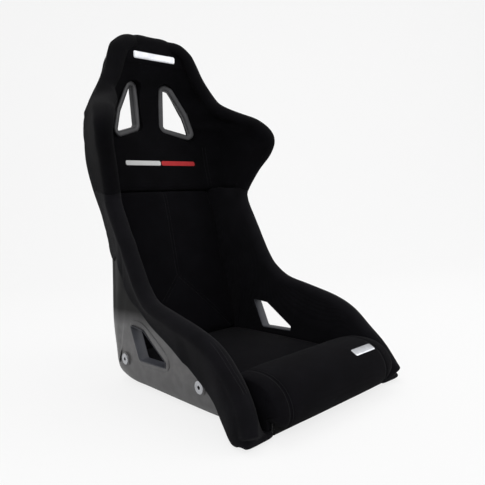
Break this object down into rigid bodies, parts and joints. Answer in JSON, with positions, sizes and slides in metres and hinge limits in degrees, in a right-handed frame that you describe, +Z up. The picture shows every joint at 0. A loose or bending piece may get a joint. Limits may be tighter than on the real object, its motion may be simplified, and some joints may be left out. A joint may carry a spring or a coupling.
{
  "type": "racing seat",
  "caption": "Fixed-back bucket racing seat with a moulded shell, shoulder wings, harness openings and padded black covers.",
  "frame": {"origin": "middle of the seat's width and length, on the flat underside of the base", "axes": "+Z up, -Y towards the front of the seat, +X to the right in a view from the front"},
  "size_m": [0.5368, 0.6545, 0.8826],
  "materials": {
    "shell_gelcoat": "moulded gel-coat, satin grey",
    "plate_steel": "plain steel strip",
    "insert_steel": "bright zinc plating",
    "bezel_plastic": "satin dark grey",
    "lining_plastic": "satin dark grey",
    "grommet_rubber": "matt black",
    "cover_fabric": "fine knitted black cover",
    "cushion_fabric": "fine knitted black cover",
    "apron_fabric": "fine knitted black cover",
    "hook_tape": "hook-and-loop tape",
    "patch_silver": "silver film, blank",
    "bar_white": "raised white print, plain",
    "bar_red": "raised red print, plain"
  },
  "bodies": {
    "root": {"shell_thighs": "shell_gelcoat", "shell_hips": "shell_gelcoat", "shell_loins": "shell_gelcoat", "shell_back": "shell_gelcoat", "mount_plate_left": "plate_steel", "mount_plate_right": "plate_steel", "mount_inserts": "insert_steel", "harness_trim_left": "bezel_plastic", "harness_trim_right": "bezel_plastic", "lap_trim_left": "lining_plastic", "lap_trim_right": "lining_plastic", "crotch_slot_trim": "grommet_rubber", "upper_pad": "cover_fabric", "side_bolster_left": "cover_fabric", "side_bolster_right": "cover_fabric", "lower_back_cushion": "cushion_fabric", "seat_cushion": "cushion_fabric", "front_cushion": "cushion_fabric", "front_apron": "apron_fabric", "seat_cushion_strips": "hook_tape", "back_cushion_strips": "hook_tape", "front_cushion_strip": "hook_tape", "head_patch": "patch_silver", "front_patch": "patch_silver", "chest_bar_white": "bar_white", "chest_bar_red": "bar_red"}
  },
  "joints": []
}
